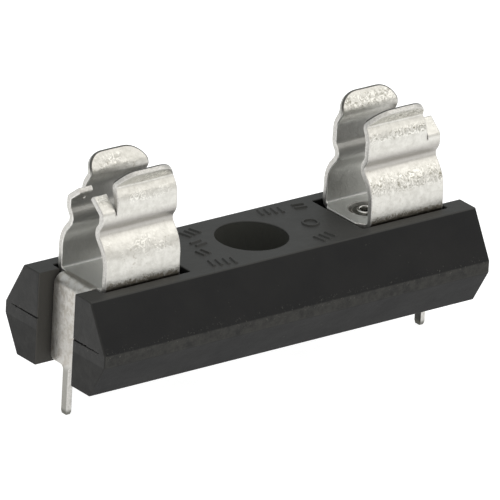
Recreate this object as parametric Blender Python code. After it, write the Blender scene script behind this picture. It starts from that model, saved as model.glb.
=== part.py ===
"""Board-mounted holder for a 6.3 x 32 mm cartridge fuse.

A moulded base carries two stamped spring clips. Each clip is one strip of plated sheet metal: a floor
riveted to the base, a terminal strip and solder pin that run down an end slot, and two spring arms that
grip the fuse's end cap. The arms are separate objects, because they flex outwards about the clip's floor.

Frame: origin on the seating plane at the middle of the base, +X along the fuse, +Z up. Left is -X and
front is -Y.
"""
import math

import bmesh
import bpy
from mathutils import Vector

MM = 0.001

# Base moulding: an eight-sided prism along X.
BASE_LENGTH = 38.0 * MM
BASE_HEIGHT = 7.8 * MM
BASE_TOP_HALF = 4.4 * MM
BASE_WAIST_HALF = 6.55 * MM
BASE_FOOT_HALF = 4.8 * MM
WAIST_LOW = 3.0 * MM
WAIST_HIGH = 4.0 * MM
SCREW_HOLE_RADIUS = 2.95 * MM

# End slot for the terminal strip, and top pocket for the clip's floor.
SLOT_HALF = 2.35 * MM
SLOT_INNER_X = 16.9 * MM
POCKET_HALF = 3.5 * MM
POCKET_INNER_X = 8.45 * MM
POCKET_OUTER_X = 17.0 * MM
POCKET_FLOOR_Z = 6.9 * MM

# Clip sheet. Its floor lies in the pocket with its upper face level with the base's top.
SHEET = 0.5 * MM
CLEARANCE = 0.3 * MM
FLOOR_Z = POCKET_FLOOR_Z + CLEARANCE + SHEET / 2
FLOOR_INNER_X = 8.85 * MM
FLOOR_INNER_HALF = 1.85 * MM
TONGUE_HALF = 2.05 * MM
ARM_INNER_X = 9.4 * MM
ARM_OUTER_X = 16.65 * MM
ROOT_BEND = 0.45 * MM
ARM_ROOT_Y = 2.88 * MM

# Terminal strip and solder pin.
STRIP_X = 17.52 * MM
STRIP_BEND = 0.65 * MM
STRIP_FOOT_Z = 0.45 * MM
STRIP_CORNER = 0.45 * MM
PIN_HALF = 0.4 * MM
PIN_FILLET = 0.35 * MM
PIN_TIP_Z = -3.55 * MM
PIN_TIP_CHAMFER = 0.2 * MM

# Spring arm: the sheet's centre line as (distance from the middle plane, height, bend radius).
ARM_FOOT_Z = FLOOR_Z + ROOT_BEND + CLEARANCE
ARM_PIVOT_Z = FLOOR_Z + ROOT_BEND + CLEARANCE / 2
CHAMBER_SHOULDER = (ARM_ROOT_Y, 10.45 * MM, 2.6 * MM)
NECK = (1.50 * MM, 12.13 * MM, 0.45 * MM)
GUIDE_LOW = (2.12 * MM, 13.1 * MM, 0.8 * MM)
GUIDE_HIGH = (2.12 * MM, 14.7 * MM, 1.5 * MM)
CREASE = (1.50 * MM, 15.72 * MM, 0.5 * MM)
LIP_TIP = (2.5 * MM, 16.97 * MM, 0.0)
STOP_BEND = (2.12 * MM, 14.0 * MM, 0.6 * MM)
STOP_TIP = (0.85 * MM, 14.82 * MM, 0.0)

# The arm's width: a guide tab with round corners, and an end stop beyond a narrow notch.
NOTCH_Z = 13.5 * MM
NOTCH_TAB_X = 15.3 * MM
NOTCH_STOP_X = 15.45 * MM
TAB_INNER_X = 9.5 * MM
TAB_OUTER_X = 15.05 * MM
STOP_INNER_X = 15.35 * MM
LIP_CORNER_INNER = 2.0 * MM
LIP_CORNER_OUTER = 1.5 * MM

# Hollow rivet, its flange in a dimple of the clip's floor.
RIVET_X = 11.45 * MM
RIVET_BORE = 0.6 * MM
RIVET_SHANK = 0.85 * MM
RIVET_FLANGE = 1.25 * MM
RIVET_FLANGE_THICK = 0.35 * MM
RIVET_SET_RADIUS = 1.5 * MM
RIVET_SET_LOW_Z = 0.35 * MM
RIVET_SET_HIGH_Z = 0.75 * MM
RIVET_HOLE = RIVET_SHANK + CLEARANCE
COUNTERBORE_RADIUS = 2.0 * MM
COUNTERBORE_Z = RIVET_SET_HIGH_Z + CLEARANCE
DIMPLE_HOLE = 1.1 * MM
DIMPLE_FLAT = 1.3 * MM
DIMPLE_RIM = 1.55 * MM
DIMPLE_DEPTH = 0.4 * MM
DIMPLE_RECESS = 1.95 * MM

ROUND_SEGMENTS = 32
RIVET_SEGMENTS = 24
CUT_MARGIN = 1.0 * MM
SIDES = {"left": -1, "right": 1}
FACES = {"front": -1, "rear": 1}


def clear_scene():
    for obj in list(bpy.data.objects):
        bpy.data.objects.remove(obj, do_unlink=True)


def make_material(name, colour, roughness, metallic):
    material = bpy.data.materials.new(name)
    material.use_nodes = True
    shader = material.node_tree.nodes["Principled BSDF"]
    shader.inputs["Base Color"].default_value = (*colour, 1.0)
    shader.inputs["Roughness"].default_value = roughness
    shader.inputs["Metallic"].default_value = metallic
    return material


def base_plastic():
    return make_material("base_plastic", (0.045, 0.044, 0.040), 0.5, 0.0)


def clip_plating():
    return make_material("clip_plating", (0.78, 0.76, 0.70), 0.35, 1.0)


def rivet_metal():
    return make_material("rivet_metal", (0.42, 0.41, 0.38), 0.4, 1.0)


def add_object(name, bm, material=None):
    """Closes a bmesh into a named object with its faces pointing out."""
    mesh = bpy.data.meshes.new(name)
    bmesh.ops.recalc_face_normals(bm, faces=bm.faces)
    bm.to_mesh(mesh)
    bm.free()
    obj = bpy.data.objects.new(name, mesh)
    bpy.context.scene.collection.objects.link(obj)
    if material:
        mesh.materials.append(material)
    return obj


def prism(name, outline, low, high, axis, material=None):
    """Extrudes a closed outline of (a, b) points from low to high along X or Z."""
    bm = bmesh.new()
    if axis == "X":
        corners = [Vector((low, a, b)) for a, b in outline]
        travel = Vector((high - low, 0, 0))
    else:
        corners = [Vector((a, b, low)) for a, b in outline]
        travel = Vector((0, 0, high - low))
    face = bm.faces.new([bm.verts.new(c) for c in corners])
    extruded = bmesh.ops.extrude_face_region(bm, geom=[face])
    moved = [item for item in extruded["geom"] if isinstance(item, bmesh.types.BMVert)]
    bmesh.ops.translate(bm, verts=moved, vec=travel)
    return add_object(name, bm, material)


def rectangle(a_low, a_high, b_low, b_high):
    return [(a_low, b_low), (a_high, b_low), (a_high, b_high), (a_low, b_high)]


def circle(centre_a, centre_b, radius, segments):
    turns = [2 * math.pi * i / segments for i in range(segments)]
    return [(centre_a + radius * math.cos(t), centre_b + radius * math.sin(t)) for t in turns]


def cut(target, cutter):
    cutter.hide_render = True
    cutter.display_type = "WIRE"
    boolean = target.modifiers.new("cut_" + cutter.name, "BOOLEAN")
    boolean.operation = "DIFFERENCE"
    boolean.object = cutter


def span(side, near, far):
    """Orders a stretch of |x| values on one side of the middle plane."""
    ends = (side * near, side * far)
    return min(ends), max(ends)


def combine(target, addition):
    addition.hide_render = True
    addition.display_type = "WIRE"
    boolean = target.modifiers.new("join_" + addition.name, "BOOLEAN")
    boolean.operation = "UNION"
    boolean.object = addition


def build_base(material):
    section = [
        (-BASE_FOOT_HALF, 0.0),
        (BASE_FOOT_HALF, 0.0),
        (BASE_WAIST_HALF, WAIST_LOW),
        (BASE_WAIST_HALF, WAIST_HIGH),
        (BASE_TOP_HALF, BASE_HEIGHT),
        (-BASE_TOP_HALF, BASE_HEIGHT),
        (-BASE_WAIST_HALF, WAIST_HIGH),
        (-BASE_WAIST_HALF, WAIST_LOW),
    ]
    half = BASE_LENGTH / 2
    base = prism("base_moulding", section, -half, half, "X", material)
    over = BASE_HEIGHT + CUT_MARGIN
    hole = circle(0.0, 0.0, SCREW_HOLE_RADIUS, ROUND_SEGMENTS)
    cut(base, prism("screw_hole", hole, -CUT_MARGIN, over, "Z"))
    for name, side in SIDES.items():
        slot = rectangle(*span(side, SLOT_INNER_X, half + CUT_MARGIN), -SLOT_HALF, SLOT_HALF)
        cut(base, prism("slot_" + name, slot, -CUT_MARGIN, over, "Z"))
        pocket = rectangle(*span(side, POCKET_INNER_X, POCKET_OUTER_X), -POCKET_HALF, POCKET_HALF)
        cut(base, prism("pocket_" + name, pocket, POCKET_FLOOR_Z, over, "Z"))
        shank = circle(side * RIVET_X, 0.0, RIVET_HOLE, RIVET_SEGMENTS)
        cut(base, prism("rivet_hole_" + name, shank, -CUT_MARGIN, over, "Z"))
        recess = circle(side * RIVET_X, 0.0, DIMPLE_RECESS, RIVET_SEGMENTS)
        cut(base, prism("recess_" + name, recess, POCKET_FLOOR_Z - DIMPLE_DEPTH, over, "Z"))
        counterbore = circle(side * RIVET_X, 0.0, COUNTERBORE_RADIUS, RIVET_SEGMENTS)
        cut(base, prism("counterbore_" + name, counterbore, -CUT_MARGIN, COUNTERBORE_Z, "Z"))
    return base


def filleted_path(corners, step_degrees=12.0):
    """Turns (a, b, radius) corners into a polyline whose corners are rounded by arcs."""
    points = [Vector(corners[0][:2])]
    for before, corner, after in zip(corners, corners[1:], corners[2:]):
        middle = Vector(corner[:2])
        arriving = (middle - Vector(before[:2])).normalized()
        leaving = (Vector(after[:2]) - middle).normalized()
        turn = arriving.angle(leaving)
        setback = corner[2] * math.tan(turn / 2)
        start = middle - arriving * setback
        towards_centre = (leaving - arriving * arriving.dot(leaving)).normalized()
        centre = start + towards_centre * corner[2]
        steps = max(2, math.ceil(math.degrees(turn) / step_degrees))
        for i in range(steps + 1):
            angle = turn * i / steps
            offset = arriving * math.sin(angle) - towards_centre * math.cos(angle)
            points.append(centre + offset * corner[2])
    points.append(Vector(corners[-1][:2]))
    return points


def add_grid(bm, rows):
    """Joins neighbouring rows of points with quads."""
    lines = [[bm.verts.new(point) for point in row] for row in rows]
    for lower, upper in zip(lines, lines[1:]):
        for i in range(len(lower) - 1):
            bm.faces.new((lower[i], lower[i + 1], upper[i + 1], upper[i]))


def sheet_metal(name, bm, material):
    """Welds a middle surface's patches and gives it the sheet's thickness."""
    bmesh.ops.remove_doubles(bm, verts=bm.verts, dist=0.001 * MM)
    obj = add_object(name, bm, material)
    solidify = obj.modifiers.new("sheet", "SOLIDIFY")
    solidify.thickness = SHEET
    solidify.offset = 0.0
    solidify.use_even_offset = True
    return obj


def channel_profile():
    """Returns the floor's (y, z) line across the clip, turned up at both edges."""
    start = (ARM_ROOT_Y, FLOOR_Z + ROOT_BEND, 0.0)
    corner = (ARM_ROOT_Y, FLOOR_Z, ROOT_BEND)
    end = (TONGUE_HALF, FLOOR_Z, 0.0)
    rear = filleted_path([start, corner, end], step_degrees=15.0)[1:]
    front = [(-y, z) for y, z in reversed(rear)]
    return [tuple(point) for point in rear] + front


def arc(centre_a, centre_b, radius, start_degrees, end_degrees, steps):
    angles = [
        math.radians(start_degrees + (end_degrees - start_degrees) * i / steps)
        for i in range(steps + 1)
    ]
    return [(centre_a + radius * math.cos(t), centre_b + radius * math.sin(t)) for t in angles]


def terminal_outline():
    """Returns the flat terminal's (y, z) outline, from the bend's end down to the pin's tip."""
    corner_y = TONGUE_HALF - STRIP_CORNER
    half = [(TONGUE_HALF, FLOOR_Z - STRIP_BEND)]
    half += arc(corner_y, STRIP_FOOT_Z + STRIP_CORNER, STRIP_CORNER, 0, -90, 5)
    half += arc(PIN_HALF + PIN_FILLET, STRIP_FOOT_Z - PIN_FILLET, PIN_FILLET, 90, 180, 5)
    half += [
        (PIN_HALF, PIN_TIP_Z + PIN_TIP_CHAMFER),
        (PIN_HALF - PIN_TIP_CHAMFER, PIN_TIP_Z),
    ]
    return half + [(-y, z) for y, z in reversed(half)]


def build_clip(name, side, material):
    bm = bmesh.new()
    profile = channel_profile()
    add_grid(bm, [[(side * x, y, z) for y, z in profile] for x in (ARM_INNER_X, ARM_OUTER_X)])

    # Inner end of the floor, with chamfered corners.
    bend_start = ARM_ROOT_Y - ROOT_BEND
    inner_row = [
        ((FLOOR_INNER_X + ARM_INNER_X) / 2, (FLOOR_INNER_HALF + bend_start) / 2),
        (FLOOR_INNER_X, FLOOR_INNER_HALF),
    ]
    outer_row = [(ARM_INNER_X, bend_start), (ARM_INNER_X, TONGUE_HALF)]
    patch = []
    for row in (inner_row, outer_row):
        full = row + [(x, -y) for x, y in reversed(row)]
        patch.append([(side * x, y, FLOOR_Z) for x, y in full])
    add_grid(bm, patch)

    # Tongue and the bend over the base's end slot.
    tongue = [(ARM_OUTER_X, FLOOR_Z, 0.0), (STRIP_X, FLOOR_Z, STRIP_BEND), (STRIP_X, 0.0, 0.0)]
    over_edge = filleted_path(tongue)[:-1]
    add_grid(bm, [[(side * x, y, z) for y in (TONGUE_HALF, -TONGUE_HALF)] for x, z in over_edge])
    bm.faces.new([bm.verts.new((side * STRIP_X, y, z)) for y, z in terminal_outline()])

    clip = sheet_metal(name, bm, material)
    hole = circle(side * RIVET_X, 0.0, DIMPLE_RIM, RIVET_SEGMENTS)
    cut(clip, prism(name + "_rivet_hole", hole, 0.0, BASE_HEIGHT + CUT_MARGIN, "Z"))
    combine(clip, build_dimple(name + "_dimple", side))
    return clip


def build_dimple(name, side):
    """Makes the sunken ring around the rivet's hole. Its outer edge is buried in the floor."""
    top = FLOOR_Z + SHEET / 2
    bury = 0.15 * MM
    step = 0.08 * MM
    section = [
        (DIMPLE_RIM + bury, top - step),
        (DIMPLE_RIM + bury, top - SHEET + step),
        (DIMPLE_RIM, top - DIMPLE_DEPTH - SHEET),
        (DIMPLE_HOLE, top - DIMPLE_DEPTH - SHEET),
        (DIMPLE_HOLE, top - DIMPLE_DEPTH),
        (DIMPLE_FLAT, top - DIMPLE_DEPTH),
        (DIMPLE_RIM, top - step),
    ]
    return turned(name, section, side * RIVET_X)


def divided_end(path, radius, steps=6):
    """Adds points near the path's end, so that a corner of this radius looks round there."""
    distances = distances_to_end(path)
    wanted = [radius * (1 - math.sin(math.pi / 2 * i / steps)) for i in range(steps + 1)]
    result = []
    for i in range(len(path) - 1):
        result.append(path[i])
        length = distances[i] - distances[i + 1]
        inside = [d for d in wanted if distances[i + 1] < d < distances[i]]
        result += [path[i].lerp(path[i + 1], (distances[i] - d) / length) for d in inside]
    return result + [path[-1]]


def rounded_edge(start, end, radius, length, distance):
    """Returns the x of a tab's edge at some distance from the tab's free end.

    The edge leans from start to end along the tab's length, and its corner at the free end is round.
    """
    x = end + (start - end) * distance / length
    if distance < radius:
        inset = radius - math.sqrt(radius ** 2 - (radius - distance) ** 2)
        x += math.copysign(inset, end - start)
    return x


def distances_to_end(path):
    """Returns each point's distance along a path to its last point."""
    distances = [0.0]
    for point, following in zip(reversed(path[:-1]), reversed(path[1:])):
        distances.append(distances[-1] + (following - point).length)
    return distances[::-1]


def build_arm(name, side, face, material):
    """Builds one spring arm: chamber wall, neck, guide tab with a flared lip, and end stop."""

    def place(x, point):
        return (side * x, face * point.x, point.y)

    foot = (ARM_ROOT_Y, ARM_FOOT_Z, 0.0)
    notch = (GUIDE_LOW[0], NOTCH_Z, 0.0)
    wall = filleted_path([foot, CHAMBER_SHOULDER, NECK, GUIDE_LOW, notch])
    tab = divided_end(filleted_path([notch, GUIDE_HIGH, CREASE, LIP_TIP]), LIP_CORNER_INNER)
    stop = filleted_path([notch, STOP_BEND, STOP_TIP])

    bm = bmesh.new()
    columns = (ARM_INNER_X, NOTCH_TAB_X, NOTCH_STOP_X, ARM_OUTER_X)
    add_grid(bm, [[place(x, point) for x in columns] for point in wall])
    rows = []
    distances = distances_to_end(tab)
    for point, distance in zip(tab, distances):
        inner = rounded_edge(ARM_INNER_X, TAB_INNER_X, LIP_CORNER_INNER, distances[0], distance)
        outer = rounded_edge(NOTCH_TAB_X, TAB_OUTER_X, LIP_CORNER_OUTER, distances[0], distance)
        rows.append([place(inner, point), place(outer, point)])
    add_grid(bm, rows)
    rows = []
    distances = distances_to_end(stop)
    for point, distance in zip(stop, distances):
        inner = STOP_INNER_X + (NOTCH_STOP_X - STOP_INNER_X) * distance / distances[0]
        rows.append([place(inner, point), place(ARM_OUTER_X, point)])
    add_grid(bm, rows)
    arm = sheet_metal(name, bm, material)
    set_origin(arm, Vector((0.0, face * ARM_ROOT_Y, ARM_PIVOT_Z)))
    return arm


def set_origin(obj, point):
    """Moves the object's origin onto its joint's axis and leaves its shape where it is."""
    for vertex in obj.data.vertices:
        vertex.co -= point
    obj.location = point


def turned(name, section, centre_x, material=None):
    """Spins a closed (radius, z) section about an upright axis on the middle plane."""
    bm = bmesh.new()
    rings = []
    for i in range(RIVET_SEGMENTS):
        turn = 2 * math.pi * i / RIVET_SEGMENTS
        ring = [(centre_x + r * math.cos(turn), r * math.sin(turn), z) for r, z in section]
        rings.append([bm.verts.new(point) for point in ring])
    for ring, following in zip(rings, rings[1:] + rings[:1]):
        for i in range(len(section)):
            j = (i + 1) % len(section)
            bm.faces.new((ring[i], ring[j], following[j], following[i]))
    return add_object(name, bm, material)


def build_rivet(name, side, material):
    flange_low = FLOOR_Z + SHEET / 2 - DIMPLE_DEPTH + CLEARANCE
    flange_high = flange_low + RIVET_FLANGE_THICK
    edge = RIVET_FLANGE_THICK / 2
    section = [
        (RIVET_BORE, RIVET_SET_LOW_Z),
        (RIVET_SET_RADIUS, RIVET_SET_LOW_Z),
        (RIVET_SET_RADIUS, RIVET_SET_HIGH_Z),
        (RIVET_SHANK, RIVET_SET_HIGH_Z),
        (RIVET_SHANK, flange_low),
        (RIVET_FLANGE, flange_low),
        (RIVET_FLANGE, flange_high - edge),
        (RIVET_FLANGE - edge, flange_high),
        (RIVET_BORE, flange_high),
    ]
    return turned(name, section, side * RIVET_X, material)


def main():
    clear_scene()
    build_base(base_plastic())
    plating = clip_plating()
    metal = rivet_metal()
    for name, side in SIDES.items():
        build_clip("clip_" + name, side, plating)
        build_rivet("rivet_" + name, side, metal)
        for face_name, face in FACES.items():
            build_arm("arm_" + name + "_" + face_name, side, face, plating)


main()
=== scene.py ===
"""Looks of the board-mounted cartridge fuse holder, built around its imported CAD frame.

Left is -X and front is -Y, as in the frame. Sizes here are in millimetres and become metres as each mesh
is closed. Every clip is drawn as one strip of sheet metal in three pieces: the floor with its terminal,
and two spring arms that bend out of it.
"""
import math

import bmesh
import bpy
from mathutils import Matrix, Vector, noise


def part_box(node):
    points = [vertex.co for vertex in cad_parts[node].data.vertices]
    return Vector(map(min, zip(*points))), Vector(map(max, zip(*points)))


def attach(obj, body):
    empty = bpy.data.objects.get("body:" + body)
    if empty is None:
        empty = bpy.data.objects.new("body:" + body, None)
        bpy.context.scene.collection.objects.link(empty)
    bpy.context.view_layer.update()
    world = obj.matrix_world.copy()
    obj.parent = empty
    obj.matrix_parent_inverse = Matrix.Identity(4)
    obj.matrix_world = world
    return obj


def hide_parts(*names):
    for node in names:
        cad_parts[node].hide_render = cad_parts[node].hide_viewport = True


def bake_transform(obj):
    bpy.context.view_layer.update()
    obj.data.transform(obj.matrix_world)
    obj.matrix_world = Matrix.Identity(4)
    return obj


MM = 0.001
SIDES = {"left": -1, "right": 1}
FACES = {"front": -1, "rear": 1}

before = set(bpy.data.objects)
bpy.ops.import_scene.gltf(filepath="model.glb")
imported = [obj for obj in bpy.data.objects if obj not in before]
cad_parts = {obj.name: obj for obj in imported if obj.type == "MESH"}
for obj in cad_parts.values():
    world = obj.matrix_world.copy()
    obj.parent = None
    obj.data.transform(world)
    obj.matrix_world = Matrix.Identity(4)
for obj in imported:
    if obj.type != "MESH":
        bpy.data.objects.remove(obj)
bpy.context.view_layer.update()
_, base_high = (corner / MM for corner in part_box("base_moulding"))
rivet_low, rivet_high = (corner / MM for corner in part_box("rivet_right"))
arm_low, arm_high = (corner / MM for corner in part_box("arm_right_rear"))
clip_low, clip_high = (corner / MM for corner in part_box("clip_right"))

# Base moulding. Its cutters reach CUT_OVER past the faces they open, or END_OVER at the parting line.
BASE_HALF_LENGTH = base_high.x
BASE_HEIGHT = base_high.z
WAIST_HALF = base_high.y
TOP_HALF = 4.4
FOOT_HALF = 4.8
WAIST_LOW = 3.0
WAIST_HIGH = 4.0
SCREW_HOLE_RADIUS = 2.95
SLOT_HALF = 2.35
SLOT_INNER_X = 17.0
POCKET_HALF = 3.3
POCKET_INNER_X = 8.5
POCKET_FLOOR_Z = 6.9
BASE_EDGE = 0.09
BASE_EDGE_STEPS = 3
FLAT_AREA = 0.3
CUT_OVER = 1.0
PARTING_Z = WAIST_HIGH
PARTING_WIDTH = 0.21
PARTING_DEPTH = 0.18
PARTING_END_Y = 5.75
PARTING_TAPER = 0.35
CHIP_COUNT = 5
CHIP_SIZE = 0.2
END_OVER = 0.05

# Plain moulded marks on the top face: (middle of the row), bars, pitch, bar length and the row's direction.
MARK_HEIGHT = 0.13
MARK_ROOT = 0.03
MARK_WIDTH = 0.26
MARK_ROWS = (
    ((-3.9, 2.9), 3, 0.62, 1.15, 15.0),
    ((-4.6, 0.9), 2, 0.62, 1.20, 100.0),
    ((-5.4, -0.8), 2, 0.62, 1.00, 10.0),
    ((-5.2, -3.1), 4, 0.64, 1.15, -12.0),
    ((4.3, 3.2), 4, 0.60, 1.10, -12.0),
    ((6.9, 2.9), 2, 0.62, 1.10, 80.0),
    ((4.9, -3.1), 3, 0.66, 1.20, 12.0),
)
MARK_RINGS = ((5.6, -0.3),)
MARK_RING_RADIUS = 0.62
MARK_RING_SEGMENTS = 32

# Clip sheet. Its cut edges have the radius CUT_EDGE, which grows to BURR on the arms' inner side, from
# BURR_LOW_Z up to BURR_HIGH_Z.
SHEET = 0.5
SHEET_FACE = 0
SHEET_CUT = 1
SHEET_BURR = 2
WELD = 0.001
CUT_EDGE = 0.09
CUT_STEPS = 4
BURR = 0.15
BURR_LOW_Z = 14.6
BURR_HIGH_Z = 16.2
TAB_STEPS = 20
STOP_STEPS = 4
TONGUE_STEPS = 8
FLOOR_Z = 7.45
FLOOR_INNER_X = clip_low.x
FLOOR_INNER_HALF = 1.85
TONGUE_HALF = 2.05
ARM_INNER_X = arm_low.x
ARM_OUTER_X = arm_high.x
ARM_ROOT_Y = 2.88
ROOT_BEND = 0.45
SEAM_Y = ARM_ROOT_Y - ROOT_BEND

# Terminal strip and solder pin.
STRIP_X = clip_high.x - SHEET / 2
STRIP_BEND = 0.65
STRIP_FOOT_Z = 0.45
STRIP_CORNER = 0.45
PIN_HALF = 0.4
PIN_FILLET = 0.35
PIN_TIP_Z = clip_low.z
PIN_TIP_CHAMFER = 0.2

# Spring arm's centre line as (distance from the middle plane, height, bend radius).
CHAMBER_SHOULDER = (ARM_ROOT_Y, 10.45, 2.6)
NECK = (1.50, 12.13, 0.75)
GUIDE_LOW = (2.12, 13.0, 0.8)
GUIDE_HIGH = (2.12, 14.7, 1.5)
CREASE = (1.50, 15.72, 0.5)
LIP_TIP = (2.5, 16.97, 0.0)
STOP_BEND = (2.12, 13.82, 0.35)
STOP_TIP = (0.85, 14.82, 0.0)
NOTCH_Z = 13.63
NOTCH_TAB_X = 15.3
NOTCH_STOP_X = 15.37
TAB_INNER_X = 9.5
TAB_OUTER_X = 15.05
STOP_INNER_X = 15.35
LIP_CORNER_INNER = 2.0
LIP_CORNER_OUTER = 1.5
RIPPLE_LOW_Z = 8.2
RIPPLE_RISE = 2.0
RIPPLE_WIDE = 0.045
RIPPLE_FINE = 0.012

# Hollow rivet in the floor's dimple.
RIVET_X = (rivet_low.x + rivet_high.x) / 2
RIVET_BORE = 0.55
RIVET_SHANK = 0.85
RIVET_FLANGE = 1.24
RIVET_FLANGE_THICK = 0.24
RIVET_BEAD = 0.13
RIVET_TAIL = 1.5
RIVET_TAIL_ROLL = 0.2
DIMPLE_REACH = 1.95
DIMPLE_HOLE = 1.0
DIMPLE_DEPTH = 0.4
DIMPLE_TOP = ((DIMPLE_REACH, 0.0), (1.56, 0.0), (1.51, 0.012), (1.47, 0.05), (1.44, 0.12), (1.40, 0.3),
              (1.37, 0.365), (1.31, DIMPLE_DEPTH), (DIMPLE_HOLE, DIMPLE_DEPTH))
DIMPLE_UNDER = ((DIMPLE_REACH, 0.0), (1.86, 0.03), (1.78, 0.12), (1.70, 0.3), (1.62, DIMPLE_DEPTH - 0.02),
                (1.5, DIMPLE_DEPTH), (DIMPLE_HOLE, DIMPLE_DEPTH))
RIVET_HOLE = 1.0
COUNTERBORE_RADIUS = 2.0
COUNTERBORE_Z = 1.05
ROUND_SEGMENTS = 96
RING_SEGMENTS = 64


# ---------------------------------------------------------------- mesh helpers

def close_mesh(name, bm, materials=()):
    """Turns a bmesh in millimetres into a named object in metres."""
    bmesh.ops.recalc_face_normals(bm, faces=bm.faces)
    bmesh.ops.scale(bm, vec=(MM, MM, MM), verts=bm.verts)
    mesh = bpy.data.meshes.new(name)
    bm.to_mesh(mesh)
    bm.free()
    obj = bpy.data.objects.new(name, mesh)
    bpy.context.scene.collection.objects.link(obj)
    for material in materials:
        mesh.materials.append(material)
    return obj


def apply_modifiers(obj):
    """Bakes an object's modifiers into its mesh."""
    evaluated = obj.evaluated_get(bpy.context.evaluated_depsgraph_get())
    mesh = bpy.data.meshes.new_from_object(evaluated)
    obj.modifiers.clear()
    old = obj.data
    obj.data = mesh
    bpy.data.meshes.remove(old)
    mesh.name = obj.name


def finish_shading(obj, angle=32.0):
    obj.data.shade_smooth()
    obj.data.set_sharp_from_angle(angle=math.radians(angle))
    weighted = obj.modifiers.new("even_shading", "WEIGHTED_NORMAL")
    weighted.keep_sharp = True
    weighted.weight = 80


def prism(name, outline, low, high, axis):
    """Extrudes a closed outline of (a, b) points from low to high along X or Z."""
    bm = bmesh.new()
    place = {
        "X": lambda a, b, c: (c, a, b),
        "Z": lambda a, b, c: (a, b, c),
    }[axis]
    lower = [bm.verts.new(place(a, b, low)) for a, b in outline]
    upper = [bm.verts.new(place(a, b, high)) for a, b in outline]
    bm.faces.new(lower)
    bm.faces.new(upper)
    for i in range(len(outline)):
        j = (i + 1) % len(outline)
        bm.faces.new((lower[i], lower[j], upper[j], upper[i]))
    return close_mesh(name, bm)


def rectangle(a_low, a_high, b_low, b_high):
    return [(a_low, b_low), (a_high, b_low), (a_high, b_high), (a_low, b_high)]


def circle(centre_a, centre_b, radius, segments, phase=0.0):
    """Returns a closed ring of points. Phase turns the ring by a share of one segment."""
    turns = [2 * math.pi * (i + phase) / segments for i in range(segments)]
    return [(centre_a + radius * math.cos(t), centre_b + radius * math.sin(t)) for t in turns]


def combine(target, tools, operation):
    """Cuts or joins tools with the target, and removes them."""
    for tool in tools:
        boolean = target.modifiers.new(tool.name, "BOOLEAN")
        boolean.operation = operation
        boolean.object = tool
    apply_modifiers(target)
    for tool in tools:
        bpy.data.objects.remove(tool, do_unlink=True)


def round_edges(obj, radius, segments, wanted):
    """Rounds the edges of an object that wanted(edge) picks. Radius is in millimetres."""
    bm = bmesh.new()
    bm.from_mesh(obj.data)
    bmesh.ops.remove_doubles(bm, verts=bm.verts, dist=0.002 * MM)
    bmesh.ops.dissolve_degenerate(bm, edges=bm.edges, dist=0.002 * MM)
    edges = [edge for edge in bm.edges if len(edge.link_faces) == 2 and wanted(edge)]
    bmesh.ops.bevel(
        bm, geom=edges, offset=radius * MM, segments=segments, profile=0.5,
        affect="EDGES", clamp_overlap=True, miter_outer="ARC", material=-1,
    )
    bmesh.ops.recalc_face_normals(bm, faces=bm.faces)
    bm.to_mesh(obj.data)
    bm.free()


def span(side, near, far):
    """Orders a stretch of |x| values on one side of the middle plane."""
    return min(side * near, side * far), max(side * near, side * far)


def turned(name, section, centre_x, segments, materials):
    """Spins a closed (radius, z) section about an upright axis on the middle plane."""
    bm = bmesh.new()
    rings = []
    for i in range(segments):
        turn = 2 * math.pi * i / segments
        ring = [(centre_x + r * math.cos(turn), r * math.sin(turn), z) for r, z in section]
        rings.append([bm.verts.new(point) for point in ring])
    for ring, following in zip(rings, rings[1:] + rings[:1]):
        for i in range(len(section)):
            j = (i + 1) % len(section)
            bm.faces.new((ring[i], ring[j], following[j], following[i]))
    return close_mesh(name, bm, materials)


def arc(centre_a, centre_b, radius, start_degrees, end_degrees, steps):
    turns = [math.radians(start_degrees + (end_degrees - start_degrees) * i / steps)
             for i in range(steps + 1)]
    return [(centre_a + radius * math.cos(t), centre_b + radius * math.sin(t)) for t in turns]


# ---------------------------------------------------------------- sheet metal

def filleted_path(corners, step_degrees=5.0):
    """Turns (a, b, radius) corners into a polyline whose corners are rounded by arcs."""
    points = [Vector(corners[0][:2])]
    for before, corner, after in zip(corners, corners[1:], corners[2:]):
        middle = Vector(corner[:2])
        arriving = (middle - Vector(before[:2])).normalized()
        leaving = (Vector(after[:2]) - middle).normalized()
        turn = arriving.angle(leaving)
        start = middle - arriving * corner[2] * math.tan(turn / 2)
        towards_centre = (leaving - arriving * arriving.dot(leaving)).normalized()
        centre = start + towards_centre * corner[2]
        steps = max(3, math.ceil(math.degrees(turn) / step_degrees))
        for i in range(steps + 1):
            angle = turn * i / steps
            offset = arriving * math.sin(angle) - towards_centre * math.cos(angle)
            points.append(centre + offset * corner[2])
    points.append(Vector(corners[-1][:2]))
    return [p for p, q in zip(points, points[1:]) if (q - p).length > 1e-4] + [points[-1]]


def evenly_divided(path, longest=0.3):
    """Splits a polyline's long stretches."""
    result = []
    for point, following in zip(path, path[1:]):
        steps = max(1, math.ceil((following - point).length / longest))
        result += [point.lerp(following, i / steps) for i in range(steps)]
    return result + [path[-1]]


def distances_to_end(path):
    """Returns each point's distance along a path to its last point."""
    distances = [0.0]
    for point, following in zip(reversed(path[:-1]), reversed(path[1:])):
        distances.append(distances[-1] + (following - point).length)
    return distances[::-1]


def divided_end(path, radius, steps=14):
    """Adds points near the path's end, so that a corner of this radius looks round there."""
    distances = distances_to_end(path)
    wanted = [radius * (1 - math.sin(math.pi / 2 * i / steps)) for i in range(steps + 1)]
    result = []
    for i in range(len(path) - 1):
        result.append(path[i])
        length = distances[i] - distances[i + 1]
        inside = [d for d in wanted if distances[i + 1] + 1e-4 < d < distances[i] - 1e-4]
        result += [path[i].lerp(path[i + 1], (distances[i] - d) / length) for d in inside]
    return result + [path[-1]]


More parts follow.
